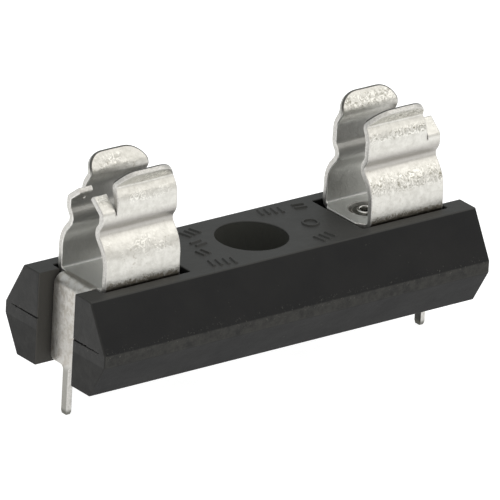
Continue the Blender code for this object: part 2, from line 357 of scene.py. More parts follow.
def rounded_edge(start, end, radius, length, distance):
    """Returns the x of a tab's edge, which leans from start to end and is round at the free end."""
    x = end + (start - end) * distance / length
    if distance < radius:
        inset = radius - math.sqrt(radius ** 2 - (radius - distance) ** 2)
        x += math.copysign(inset, end - start)
    return x


def stretch(low, high, steps):
    return [low + (high - low) * i / steps for i in range(steps + 1)]


def add_grid(bm, rows):
    """Joins neighbouring rows of points with quads."""
    lines = [[bm.verts.new(point) for point in row] for row in rows]
    for lower, upper in zip(lines, lines[1:]):
        for i in range(len(lower) - 1):
            bm.faces.new((lower[i], lower[i + 1], upper[i + 1], upper[i]))


def thicken(name, bm, materials, margin, burred=False):
    """Makes a sheet from its middle surface, with rounded cut edges that reach margin past its border.

    Along a seam the edge is flat, and the round opening for the rivet is left open. The middle surface is
    freed.
    """
    bmesh.ops.remove_doubles(bm, verts=bm.verts, dist=WELD)
    bmesh.ops.recalc_face_normals(bm, faces=bm.faces)
    bm.normal_update()
    sheet = bmesh.new()
    for sign in (1, -1):
        skin = {v: sheet.verts.new(v.co + v.normal * sign * SHEET / 2) for v in bm.verts}
        for face in bm.faces:
            sheet.faces.new([skin[v] for v in face.verts])
    borders = [edge for edge in bm.edges if edge.is_boundary and not near_rivet(edge)]
    outward = {edge: out_of_sheet(edge) for edge in borders}
    columns = {}
    for edge in borders:
        for v in edge.verts:
            if v not in columns:
                points, parts = cut_profile(v, outward, margin, burred)
                columns[v] = [sheet.verts.new(point) for point in points]
        first, second = (columns[v] for v in edge.verts)
        for i, part in enumerate(parts):
            quad = (first[i], first[i + 1], second[i + 1], second[i])
            sheet.faces.new(quad).material_index = part
    bm.free()
    bmesh.ops.remove_doubles(sheet, verts=sheet.verts, dist=WELD)
    return close_mesh(name, sheet, materials)


def near_rivet(edge):
    """True for an edge of the round opening in a floor's middle surface."""
    centre = (edge.verts[0].co + edge.verts[1].co) / 2
    return math.hypot(abs(centre.x) - RIVET_X, centre.y) < DIMPLE_REACH + 0.05


def on_seam(edge):
    """True where an arm's middle surface meets the floor's."""
    return all(abs(abs(v.co.y) - SEAM_Y) < 0.02 and abs(v.co.z - FLOOR_Z) < 0.02 for v in edge.verts)


def out_of_sheet(edge):
    """Unit vector in the sheet, square to a border edge and away from the sheet. None along a seam."""
    if on_seam(edge):
        return None
    face = edge.link_faces[0]
    out = (edge.verts[1].co - edge.verts[0].co).cross(face.normal).normalized()
    middle = (edge.verts[0].co + edge.verts[1].co) / 2
    return out if out.dot(face.calc_center_median() - middle) < 0 else -out


def cut_profile(vertex, outward, margin, burred):
    """Returns the points of a cut edge's cross-section at a border vertex, and each stretch's material."""
    directions = [outward[edge] for edge in vertex.link_edges if outward.get(edge)]
    out = sum(directions, Vector()).normalized() if directions else Vector()
    if len(directions) == 2:
        out /= max(0.5, out.dot(directions[0]))
    radii = [CUT_EDGE, CUT_EDGE]
    parts = [SHEET_CUT, SHEET_CUT]
    if burred:
        rise = min(1.0, max(0.0, (vertex.co.z - BURR_LOW_Z) / (BURR_HIGH_Z - BURR_LOW_Z)))
        inner = 0 if vertex.normal.y * vertex.co.y < 0 else 1
        radii[inner] += (BURR - CUT_EDGE) * rise
        parts[inner] = SHEET_BURR
    half = SHEET / 2
    upper = [(0.0, half)] + arc(margin - radii[0], half - radii[0], radii[0], 90, 0, CUT_STEPS)
    lower = arc(margin - radii[1], radii[1] - half, radii[1], 0, -90, CUT_STEPS) + [(0.0, -half)]
    points = [vertex.co + out * a + vertex.normal * b for a, b in upper + lower]
    return points, [SHEET_FACE] + [parts[0]] * CUT_STEPS + [SHEET_CUT] + [parts[1]] * CUT_STEPS + [SHEET_FACE]


def ripple(bm, seed):
    """Lets the pressed sheet wander by some hundredths of a millimetre, as a real stamping does."""
    for vertex in bm.verts:
        rise = min(1.0, max(0.0, (vertex.co.z - RIPPLE_LOW_Z) / RIPPLE_RISE))
        wide = noise.noise(Vector((vertex.co.x * 0.35, vertex.co.z * 0.3, seed)))
        fine = noise.noise(Vector((vertex.co.x * 1.1, vertex.co.z * 0.9, seed + 20)))
        vertex.co.y += rise * (RIPPLE_WIDE * wide + RIPPLE_FINE * fine)


def shortened(path, length):
    """Cuts a length off a polyline's last, straight stretch."""
    last = (path[-1] - path[-2]).normalized()
    return path[:-1] + [path[-1] - last * length]


def build_arm(name, side, face, seed, materials):
    """Builds one spring arm: root bend, chamber wall, neck, guide tab with a flared lip, and end stop."""

    def place(x, point):
        return (side * x, face * point.x, point.y)

    seam = (SEAM_Y, FLOOR_Z, 0.0)
    root = (ARM_ROOT_Y, FLOOR_Z, ROOT_BEND)
    notch = (GUIDE_LOW[0], NOTCH_Z - BURR, 0.0)
    wall = evenly_divided(filleted_path([seam, root, CHAMBER_SHOULDER, NECK, GUIDE_LOW, notch]))
    tab = evenly_divided(shortened(filleted_path([notch, GUIDE_HIGH, CREASE, LIP_TIP]), BURR))
    tab = divided_end(tab, LIP_CORNER_INNER - BURR)
    stop = evenly_divided(shortened(filleted_path([notch, STOP_BEND, STOP_TIP]), BURR))

    bm = bmesh.new()
    inner_x, outer_x = ARM_INNER_X + BURR, ARM_OUTER_X - BURR
    tab_x, stop_x = NOTCH_TAB_X - BURR, NOTCH_STOP_X + BURR
    columns = stretch(inner_x, tab_x, TAB_STEPS) + stretch(stop_x, outer_x, STOP_STEPS)
    add_grid(bm, [[place(x, point) for x in columns] for point in wall])
    rows = []
    distances = distances_to_end(tab)
    for point, distance in zip(tab, distances):
        inner = rounded_edge(inner_x, TAB_INNER_X + BURR, LIP_CORNER_INNER - BURR, distances[0], distance)
        outer = rounded_edge(tab_x, TAB_OUTER_X - BURR, LIP_CORNER_OUTER - BURR, distances[0], distance)
        rows.append([place(x, point) for x in stretch(inner, outer, TAB_STEPS)])
    add_grid(bm, rows)
    rows = []
    distances = distances_to_end(stop)
    for point, distance in zip(stop, distances):
        inner = STOP_INNER_X + BURR + (stop_x - STOP_INNER_X - BURR) * distance / distances[0]
        rows.append([place(x, point) for x in stretch(inner, outer_x, STOP_STEPS)])
    add_grid(bm, rows)
    ripple(bm, seed)

    arm = thicken(name, bm, materials, BURR, burred=True)
    finish_shading(arm)
    return arm


def terminal_outline(columns):
    """Returns the flat terminal's (y, z) border, from the bend's end down to the pin's tip."""
    corner, fillet, pin = STRIP_CORNER - CUT_EDGE, PIN_FILLET + CUT_EDGE, PIN_HALF - CUT_EDGE
    foot_z, tip_z = STRIP_FOOT_Z + CUT_EDGE, PIN_TIP_Z + CUT_EDGE
    half = arc(TONGUE_HALF - STRIP_CORNER, foot_z + corner, corner, 0, -90, 8)
    half += arc(pin + fillet, foot_z - fillet, fillet, 90, 180, 8)
    half += [(pin, tip_z + PIN_TIP_CHAMFER), (pin - PIN_TIP_CHAMFER / 2, tip_z)]
    top = [(y, FLOOR_Z - STRIP_BEND) for y in columns]
    return top + half + [(-y, z) for y, z in reversed(half)]


def build_floor(name, side, materials):
    """Builds a clip's floor with its rivet dimple, the tongue bent over the base's end, and the terminal."""
    bm = bmesh.new()
    tongue_half = TONGUE_HALF - CUT_EDGE
    tongue_columns = stretch(-tongue_half, tongue_half, TONGUE_STEPS)
    inner_x, outer_x = FLOOR_INNER_X + CUT_EDGE, ARM_OUTER_X - CUT_EDGE
    ring = circle(side * RIVET_X, 0.0, DIMPLE_REACH, RING_SEGMENTS)
    for half in (1, -1):
        outline = [(inner_x, 0.0), (inner_x, half * (FLOOR_INNER_HALF - CUT_EDGE * 0.6))]
        outline += [(ARM_INNER_X + CUT_EDGE, half * SEAM_Y), (outer_x, half * SEAM_Y)]
        across = sorted((half * y for y in tongue_columns), key=lambda y: -y * half)
        outline += [(outer_x, y) for y in across if y * half >= 0]
        points = [Vector((side * x, y, FLOOR_Z)) for x, y in outline]
        around = [Vector((x, y, FLOOR_Z)) for x, y in ring if y * half >= -1e-6]
        around.sort(key=lambda p: -side * p.x)
        bm.faces.new([bm.verts.new(point) for point in points + around])

    tongue = [(outer_x, FLOOR_Z, 0.0), (STRIP_X, FLOOR_Z, STRIP_BEND), (STRIP_X, 0.0, 0.0)]
    over_edge = filleted_path(tongue)[:-1]
    add_grid(bm, [[(side * x, y, z) for y in tongue_columns] for x, z in over_edge])
    bm.faces.new([bm.verts.new((side * STRIP_X, y, z)) for y, z in terminal_outline(tongue_columns)])
    floor = thicken(name, bm, materials, CUT_EDGE)
    press_dimple(floor, side)
    finish_shading(floor)
    return floor


def press_dimple(floor, side):
    """Closes the floor's round opening with a sunken ring around the rivet."""
    bm = bmesh.new()
    bm.from_mesh(floor.data)
    top, under = FLOOR_Z + SHEET / 2, FLOOR_Z - SHEET / 2
    line = [(r, top - drop) for r, drop in DIMPLE_TOP]
    line += [(r, under - drop) for r, drop in reversed(DIMPLE_UNDER)]
    rings = []
    for r, z in line:
        rings.append([bm.verts.new((x * MM, y * MM, z * MM))
                      for x, y in circle(side * RIVET_X, 0.0, r, RING_SEGMENTS)])
    for ring, following in zip(rings, rings[1:]):
        for i in range(RING_SEGMENTS):
            j = (i + 1) % RING_SEGMENTS
            bm.faces.new((ring[i], ring[j], following[j], following[i]))
    bmesh.ops.remove_doubles(bm, verts=bm.verts, dist=0.003 * MM)
    bmesh.ops.recalc_face_normals(bm, faces=bm.faces)
    bm.to_mesh(floor.data)
    bm.free()


# ---------------------------------------------------------------- base and rivets

def base_section():
    return [
        (-FOOT_HALF, 0.0),
        (FOOT_HALF, 0.0),
        (WAIST_HALF, WAIST_LOW),
        (WAIST_HALF, WAIST_HIGH),
        (TOP_HALF, BASE_HEIGHT),
        (-TOP_HALF, BASE_HEIGHT),
        (-WAIST_HALF, WAIST_HIGH),
        (-WAIST_HALF, WAIST_LOW),
    ]


def parting_groove(name, side, face):
    """A thin wedge that scores the parting line into one half of an end face."""
    outer = side * (BASE_HALF_LENGTH + END_OVER)
    inner = side * (BASE_HALF_LENGTH - PARTING_DEPTH)
    bm = bmesh.new()
    ends = []
    for y, width in ((SLOT_HALF - 0.2, PARTING_WIDTH), (PARTING_END_Y, PARTING_WIDTH * PARTING_TAPER)):
        points = ((outer, PARTING_Z + width / 2), (outer, PARTING_Z - width / 2), (inner, PARTING_Z))
        ends.append([bm.verts.new((x, face * y, z)) for x, z in points])
    bm.faces.new(ends[0])
    bm.faces.new(ends[1])
    for i in range(3):
        j = (i + 1) % 3
        bm.faces.new((ends[0][i], ends[0][j], ends[1][j], ends[1][i]))
    return close_mesh(name, bm)


def parting_chips(name, side, face):
    """Cutters for small crumbled bites along the parting line of an end face."""
    chips = []
    for i in range(CHIP_COUNT):
        share = (i + 0.5) / CHIP_COUNT
        wander = [noise.noise(Vector((i * 1.7 + 0.3, face * 3.1 + side, k * 2.3 + 0.7))) for k in range(5)]
        y = face * (SLOT_HALF + 0.4 + (PARTING_END_Y - SLOT_HALF - 0.9) * share + 0.3 * wander[0])
        z = PARTING_Z + 0.08 * wander[1]
        half_length, half_height = CHIP_SIZE * (1.1 + wander[2]), CHIP_SIZE * (0.6 + 0.4 * wander[3])
        bm = bmesh.new()
        tip = bm.verts.new((side * (BASE_HALF_LENGTH - CHIP_SIZE), y + 0.1 * wander[4], z))
        outer_x = side * (BASE_HALF_LENGTH + END_OVER)
        outer = [bm.verts.new((outer_x, y + a * half_length, z + b * half_height))
                 for a, b in ((-1, -0.3), (0.2, -1), (1, 0.2), (-0.1, 1))]
        bm.faces.new(outer)
        for j in range(4):
            bm.faces.new((outer[j], outer[(j + 1) % 4], tip))
        chips.append(close_mesh(f"{name}_{i}", bm))
    return chips


def tapered_bar(bm, centre, length, width, degrees):
    """Adds a low moulded bar with drafted sides, standing on the base's top face."""
    turn = math.radians(degrees)
    along_bar = Vector((math.cos(turn), math.sin(turn)))
    across_bar = Vector((-math.sin(turn), math.cos(turn)))
    loops = []
    for z, inset in ((BASE_HEIGHT - MARK_ROOT, -MARK_ROOT), (BASE_HEIGHT + MARK_HEIGHT, MARK_HEIGHT * 0.5)):
        corners = []
        for a, b in rectangle(-1, 1, -1, 1):
            point = centre + along_bar * a * (length / 2 - inset) + across_bar * b * (width / 2 - inset)
            corners.append(bm.verts.new((point.x, point.y, z)))
        loops.append(corners)
    bridge(bm, loops)


def tapered_ring(bm, centre, radius, width):
    """Adds a low moulded ring with drafted sides."""
    root, top = BASE_HEIGHT - MARK_ROOT, BASE_HEIGHT + MARK_HEIGHT
    draft = MARK_HEIGHT * 0.5
    section = ((radius - width / 2, root), (radius + width / 2, root),
               (radius + width / 2 - draft, top), (radius - width / 2 + draft, top))
    loops = [[bm.verts.new((x, y, z)) for x, y in circle(centre.x, centre.y, r, MARK_RING_SEGMENTS)]
             for r, z in section]
    for loop, following in zip(loops, loops[1:] + loops[:1]):
        for i in range(len(loop)):
            j = (i + 1) % len(loop)
            bm.faces.new((loop[i], loop[j], following[j], following[i]))


def bridge(bm, loops):
    """Closes two matching loops into a solid."""
    lower, upper = loops
    bm.faces.new(lower)
    bm.faces.new(upper)
    for i in range(len(lower)):
        j = (i + 1) % len(lower)
        bm.faces.new((lower[i], lower[j], upper[j], upper[i]))


def moulded_marks():
    """Plain bars and a ring round the screw hole, where such a base carries moulded marks."""
    bm = bmesh.new()
    for (x, y), count, pitch, length, degrees in MARK_ROWS:
        centre = Vector((x, y))
        step = Vector((math.cos(math.radians(degrees)), math.sin(math.radians(degrees)))) * pitch
        for i in range(count):
            place = centre + step * (i - (count - 1) / 2)
            tapered_bar(bm, place, length, MARK_WIDTH, degrees + 90)
    for x, y in MARK_RINGS:
        tapered_ring(bm, Vector((x, y)), MARK_RING_RADIUS, MARK_WIDTH)
    return close_mesh("moulded_marks", bm)


def build_base(materials):
    half = BASE_HALF_LENGTH
    base = prism("base_shell", base_section(), -half, half, "X")
    for material in materials:
        base.data.materials.append(material)
    over, under = BASE_HEIGHT + CUT_OVER, -CUT_OVER
    cutters = [prism("screw_hole", circle(0, 0, SCREW_HOLE_RADIUS, ROUND_SEGMENTS, 0.5), under, over, "Z")]
    for name, side in SIDES.items():
        slot = rectangle(*span(side, SLOT_INNER_X, half + CUT_OVER), -SLOT_HALF, SLOT_HALF)
        cutters.append(prism("slot_" + name, slot, under, over, "Z"))
        pocket = rectangle(*span(side, POCKET_INNER_X, SLOT_INNER_X), -POCKET_HALF, POCKET_HALF)
        cutters.append(prism("pocket_" + name, pocket, POCKET_FLOOR_Z, over, "Z"))
        recess = circle(side * RIVET_X, 0, DIMPLE_REACH, RING_SEGMENTS, 0.5)
        cutters.append(prism("recess_" + name, recess, POCKET_FLOOR_Z - DIMPLE_DEPTH, over, "Z"))
        shank = circle(side * RIVET_X, 0, RIVET_HOLE, RING_SEGMENTS, 0.5)
        cutters.append(prism("rivet_hole_" + name, shank, under, over, "Z"))
        counterbore = circle(side * RIVET_X, 0, COUNTERBORE_RADIUS, RING_SEGMENTS, 0.5)
        cutters.append(prism("counterbore_" + name, counterbore, under, COUNTERBORE_Z, "Z"))
    combine(base, cutters, "DIFFERENCE")
    round_edges(base, BASE_EDGE, BASE_EDGE_STEPS, lambda edge: edge.calc_face_angle(0.0) > math.radians(20))
    grooves = [parting_groove(f"parting_{name}_{face_name}", side, face)
               for name, side in SIDES.items() for face_name, face in FACES.items()]
    combine(base, grooves, "DIFFERENCE")
    for name, side in SIDES.items():
        for face_name, face in FACES.items():
            combine(base, parting_chips(f"chip_{name}_{face_name}", side, face), "DIFFERENCE")
    combine(base, [moulded_marks()], "UNION")
    finish_shading(base, 25.0)
    for polygon in base.data.polygons:
        polygon.use_smooth = polygon.area < FLAT_AREA * MM ** 2
    return base


def build_rivet(name, side, materials):
    """A tubular rivet: flange in the dimple, rolled mouth above it, and a tail rolled over under the base."""
    seat = FLOOR_Z + SHEET / 2 - DIMPLE_DEPTH
    top = seat + RIVET_FLANGE_THICK
    edge = RIVET_FLANGE_THICK / 2
    bead_r, bead_z = RIVET_BORE + RIVET_BEAD, top + RIVET_BEAD * 0.45
    tail_z, roll = rivet_low.z, RIVET_TAIL_ROLL
    flange = arc(RIVET_FLANGE - edge, seat + edge, edge, -90, 90, 10)
    bead = arc(bead_r, bead_z, RIVET_BEAD, -25, 180, 14)
    mouth = arc(RIVET_BORE + roll, tail_z + roll, roll, -180, -90, 6)
    tail = arc(RIVET_TAIL - roll, tail_z + roll, roll, -90, 90, 8)
    section = [(RIVET_SHANK, tail_z + 2 * roll), (RIVET_SHANK, seat)] + flange + bead + mouth + tail
    rivet = turned(name, section, side * RIVET_X, RING_SEGMENTS, materials)
    finish_shading(rivet, 40.0)
    return rivet


# ---------------------------------------------------------------- materials

PLASTIC_DARK = (0.0052, 0.0054, 0.0058)
PLASTIC_PALE = (0.0085, 0.0085, 0.0084)
PLASTIC_RUBBED = (0.034, 0.0334, 0.0305)
PLASTIC_TOP_SHEEN = (0.0410, 0.0410, 0.0390)
PLASTIC_END_SHEEN = (0.0240, 0.0236, 0.0224)
PLASTIC_SLOT = (0.055, 0.053, 0.048)
PLASTIC_BORE = (0.044, 0.045, 0.040)
PLASTIC_CRUMB = (0.085, 0.083, 0.072)
PLASTIC_SPECULAR = 0.17
TIN_PALE = (0.655, 0.645, 0.607)
TIN_DULL = (0.545, 0.535, 0.497)
TIN_STAIN = (0.34, 0.315, 0.26)
TIN_NECK_SHADE = (0.40, 0.385, 0.365)
TIN_FLOOR_REFLECTION = (0.94, 0.96, 0.95)
TIN_DIMPLE_SHADE = (0.24, 0.23, 0.20)
TIN_INSIDE_SHADE = (0.37, 0.368, 0.355)
TIN_SCRATCH_AND_SHADE = (0.24, 0.23, 0.18)
TIN_RUBBED_AND_GLINT = (0.86, 0.85, 0.80)
TIN_ROOT_SHADE = (0.20, 0.17, 0.12)
SOLDER_BRIGHT = (0.50, 0.485, 0.46)
SOLDER_WORN = (0.36, 0.33, 0.29)
SOLDER_PIN_SHADE = (0.26, 0.255, 0.235)
PIN_INNER_SHADE = (0.035, 0.036, 0.033)
PIN_CROPPED_TIP = (0.09, 0.09, 0.075)
CUT_BRIGHT = (0.62, 0.61, 0.585)
CUT_DULL = (0.50, 0.49, 0.465)
BURR_BRIGHT = (0.78, 0.77, 0.74)
BURR_DULL = (0.62, 0.61, 0.58)
BURR_LIP_SHADE = (0.11, 0.108, 0.10)
RIVET_BRIGHT = (0.80, 0.79, 0.76)
RIVET_DULL = (0.66, 0.65, 0.62)
RIVET_FLAT_SHADE = (0.135, 0.135, 0.12)

# Bands of the arms' plating that are partly scuffs and partly painted glints and painted dark flecks, as
# (height, reach). The last one is on the lip.
SCUFF_AND_GLINT_BANDS = ((10.8, 1.0), (14.8, 0.55), (16.3, 0.7))
NECK_BAND_Z = 12.6


def node(tree, kind, inputs=None, **settings):
    """Adds a node. Inputs are sockets to link or values to set."""
    made = tree.nodes.new("ShaderNode" + kind)
    for key, value in settings.items():
        setattr(made, key, value)
    for key, value in (inputs or {}).items():
        if isinstance(value, bpy.types.NodeSocket):
            tree.links.new(value, made.inputs[key])
        else:
            made.inputs[key].default_value = value
    return made


def grain(tree, size, detail=3.0, roughness=0.5, distortion=0.0, stretch_by=(1, 1, 1), seed=0.0):
    """Noise from 0 to 1 whose features are about size millimetres across."""
    coordinates = node(tree, "TexCoord").outputs["Object"]
    scale = node(tree, "Mapping", {"Vector": coordinates, "Scale": stretch_by, "Location": (seed, 0, 0)})
    settings = {"Vector": scale.outputs[0], "Scale": 1 / (size * MM), "Detail": detail,
                "Roughness": roughness, "Distortion": distortion}
    return node(tree, "TexNoise", settings).outputs["Fac"]


def remap(tree, value, low, high, to_low, to_high, smooth=False):
    kind = "SMOOTHSTEP" if smooth else "LINEAR"
    settings = {"Value": value, "From Min": low, "From Max": high, "To Min": to_low, "To Max": to_high}
    return node(tree, "MapRange", settings, interpolation_type=kind).outputs["Result"]


def fade(tree, length, start, end, peak=1.0, smooth=True):
    """Rises from 0 to peak while a length in metres goes from start to end, which are in millimetres."""
    return remap(tree, length, start * MM, end * MM, 0, peak, smooth)


def maths(tree, operation, a, b=0.0):
    return node(tree, "Math", {0: a, 1: b}, operation=operation).outputs[0]


def product(tree, first, *others):
    """Multiplies values with each other."""
    for value in others:
        first = maths(tree, "MULTIPLY", first, value)
    return first


def blend_colour(tree, factor, first, second):
    mixed = node(tree, "Mix", data_type="RGBA")
    for index, value in ((0, factor), (6, first), (7, second)):
        if isinstance(value, bpy.types.NodeSocket):
            tree.links.new(value, mixed.inputs[index])
        elif index:
            mixed.inputs[index].default_value = (*value, 1.0)
        else:
            mixed.inputs[index].default_value = value
    return mixed.outputs[2]


def relief(tree, height, depth, below=None):
    """A bump of some depth in millimetres."""
    inputs = {"Height": height, "Distance": depth * MM, "Strength": 1.0}
    if below:
        inputs["Normal"] = below
    return node(tree, "Bump", inputs).outputs["Normal"]


def new_material(name):
    material = bpy.data.materials.new(name)
    material.use_nodes = True
    tree = material.node_tree
    return material, tree, tree.nodes["Principled BSDF"]


def along(tree, axis):
    """The place along one axis, in metres."""
    coordinates = node(tree, "TexCoord").outputs["Object"]
    return node(tree, "SeparateXYZ", {0: coordinates}).outputs[axis]


def away_from_middle(tree, axis):
    """The distance from the middle of the base along one axis, in metres."""
    return maths(tree, "ABSOLUTE", along(tree, axis))


def away_from(tree, value, place):
    """The distance in metres between a value and a place, which is in millimetres."""
    return maths(tree, "ABSOLUTE", maths(tree, "SUBTRACT", value, place * MM))


def distance_from_axis(tree, axis_x):
    """The distance in metres from an upright axis at |x| = axis_x millimetres on the middle plane."""
    x = maths(tree, "SUBTRACT", away_from_middle(tree, "X"), axis_x * MM)
    y = along(tree, "Y")
    squares = maths(tree, "ADD", maths(tree, "MULTIPLY", x, x), maths(tree, "MULTIPLY", y, y))
    return maths(tree, "SQRT", squares)


def facing(tree, axis):
    """How far the surface faces up one axis, from -1 to 1."""
    return node(tree, "SeparateXYZ", {0: node(tree, "NewGeometry").outputs["Normal"]}).outputs[axis]


def facing_out(tree, axis):
    """How far the surface faces away from the middle of the base along one axis, from -1 to 1."""
    return product(tree, facing(tree, axis), maths(tree, "SIGN", along(tree, axis)))


def base_plastic():
    """Black moulded plastic: satin, eroded along the waist, with a painted sheen that makes its top paler and
    a painted sheen in torn-looking patches on its ends.
    """
    material, tree, shader = new_material("base_plastic")
    link = tree.links.new
    height = along(tree, "Z")
    lengthwise = away_from_middle(tree, "X")
    sideways = away_from_middle(tree, "Y")

    cloud = remap(tree, grain(tree, 3.5, 4.0, seed=3.1), 0.35, 0.7, 0, 1)
    colour = blend_colour(tree, cloud, PLASTIC_DARK, PLASTIC_PALE)
    end = fade(tree, lengthwise, BASE_HALF_LENGTH - 0.15, BASE_HALF_LENGTH - 0.02)
    band = product(
        tree,
        fade(tree, height, WAIST_LOW - 0.15, WAIST_LOW + 0.1),
        fade(tree, height, WAIST_HIGH + 0.05, WAIST_HIGH - 0.08),
        fade(tree, sideways, FOOT_HALF + 0.9, FOOT_HALF + 1.1, smooth=False),
        maths(tree, "SUBTRACT", 1.0, end),
    )
    rubbed = product(tree, band, remap(tree, grain(tree, 0.8, 6.0, 0.75), 0.36, 0.60, 0.25, 1))
    colour = blend_colour(tree, rubbed, colour, PLASTIC_RUBBED)
    # Painted sheen: the top face is painted paler, standing in for the grazing reflection it shows.
    top = fade(tree, height, BASE_HEIGHT - 0.12, BASE_HEIGHT - 0.02)
    colour = blend_colour(tree, top, colour, PLASTIC_TOP_SHEEN)
    # Painted sheen: the end faces are painted paler in torn-looking patches, standing in for their
    # reflection.
    torn = remap(tree, grain(tree, 0.9, 5.0, 0.65, seed=11.0), 0.35, 0.65, 0.5, 1)
    colour = blend_colour(tree, product(tree, end, torn), colour, PLASTIC_END_SHEEN)
    slot = product(
        tree,
        fade(tree, lengthwise, SLOT_INNER_X - 0.12, SLOT_INNER_X - 0.02),
        fade(tree, sideways, SLOT_HALF + 0.06, SLOT_HALF + 0.02),
    )
    colour = blend_colour(tree, slot, colour, PLASTIC_SLOT)
    from_hole = distance_from_axis(tree, 0.0)
    bore = product(
        tree,
        fade(tree, from_hole, SCREW_HOLE_RADIUS + 0.04, SCREW_HOLE_RADIUS, smooth=False),
        fade(tree, height, BASE_HEIGHT - 0.05, BASE_HEIGHT - 0.12, smooth=False),
    )
    colour = blend_colour(tree, bore, colour, PLASTIC_BORE)
    near_waist = fade(tree, away_from(tree, height, PARTING_Z), 0.6, 0.15)
    crumbs = remap(tree, grain(tree, 0.24, 4.0, 0.7, seed=7.7), 0.60, 0.68, 0, 0.7)
    crumbs = product(tree, near_waist, crumbs)
    dust = remap(tree, grain(tree, 0.26, 2.0, seed=17.7), 0.74, 0.79, 0, 0.35)
    colour = blend_colour(tree, maths(tree, "MAXIMUM", dust, crumbs), colour, PLASTIC_CRUMB)
    link(colour, shader.inputs["Base Color"])

    sheen = grain(tree, 1.4, 4.0, 0.6, stretch_by=(0.5, 1, 1), seed=1.7)
    rough = remap(tree, sheen, 0.3, 0.7, 0.40, 0.47)
    rough = maths(tree, "ADD", rough, fade(tree, height, WAIST_LOW + 0.05, WAIST_LOW - 0.05, 0.15))
    rough = maths(tree, "ADD", rough, product(tree, rubbed, 0.2))
    link(rough, shader.inputs["Roughness"])
    fine = relief(tree, grain(tree, 0.07, 3.0), 0.006)
    eroded = relief(tree, crumbs, 0.03, fine)
    link(relief(tree, grain(tree, 0.9, 3.0, seed=5.0), 0.02, eroded), shader.inputs["Normal"])
    shader.inputs["Specular IOR Level"].default_value = PLASTIC_SPECULAR
    return material


def darkened_pin(tree, colour):
    """Darkens a solder pin's cropped tip, and paints shade on its side that faces the middle of the base."""
    height = along(tree, "Z")
    # Painted shade: the pin's inward face near the bottom is painted dark, as it faces the shaded underside
    # of the base.
    shaded = product(tree, remap(tree, facing_out(tree, "X"), -0.2, -0.6, 0, 1, True),
                     fade(tree, height, 0.6, 0.2, smooth=False))
    colour = blend_colour(tree, shaded, colour, PIN_INNER_SHADE)
    return blend_colour(tree, fade(tree, height, -3.0, -3.35, 0.8), colour, PIN_CROPPED_TIP)


def scuff_and_glint_bands(tree, height, outwards, right):
    """Patchy bands along the arms, partly scuffs and partly painted glints and painted dark flecks, wider on
    the right clip and only on the outer faces below the crease.
    """
    scuffed = None
    for middle, reach in SCUFF_AND_GLINT_BANDS:
        zone = fade(tree, away_from(tree, height, middle), reach, 0.3 * reach)
        spread = maths(tree, "ADD", grain(tree, 1.7, 3.0, seed=middle), product(tree, right, 0.10))
        zone = product(tree, zone, remap(tree, spread, 0.44, 0.56, 0, 1))
        if middle < CREASE[1]:
            zone = product(tree, zone, remap(tree, outwards, 0.0, 0.2, 0, 1))
        scuffed = maths(tree, "MAXIMUM", scuffed, zone) if scuffed else zone
    return scuffed


def floor_tones(tree, colour, height):
    """The clip's floor, painted pale and cool as a painted reflection, and painted shade in the dimple round
    the rivet.
    """
    # Painted reflection: the floor is painted near white and cool, standing in for the bright light it
    # reflects.
    low = fade(tree, height, 8.0, 7.8, smooth=False)
    floor = product(tree, low, fade(tree, away_from_middle(tree, "X"), 16.7, 16.4),
                    fade(tree, away_from_middle(tree, "Y"), 2.75, 2.65, smooth=False))
    colour = blend_colour(tree, floor, colour, TIN_FLOOR_REFLECTION)
    # Painted shade: the sunken ring round the rivet is darkened, where shade falls in the dimple.
    sunken = product(tree, fade(tree, distance_from_axis(tree, RIVET_X), 1.62, 1.45), low)
    return blend_colour(tree, sunken, colour, TIN_DIMPLE_SHADE)


def terminal_tones(tree, colour, height):
    """Worn solder on the terminal strip, painted darker towards the pin as painted shade."""
    dipped = fade(tree, away_from_middle(tree, "X"), 17.0, 17.3, 0.85)
    worn = remap(tree, grain(tree, 0.5, 4.0, 0.7, 0.5, seed=14.0), 0.45, 0.62, 0, 1)
    colour = blend_colour(tree, dipped, colour, blend_colour(tree, worn, SOLDER_BRIGHT, SOLDER_WORN))
    # Painted shade: the terminal darkens towards the pin, in place of the dark surroundings it reflects.
    return blend_colour(tree, fade(tree, height, 0.8, 0.0, 0.85), colour, SOLDER_PIN_SHADE)


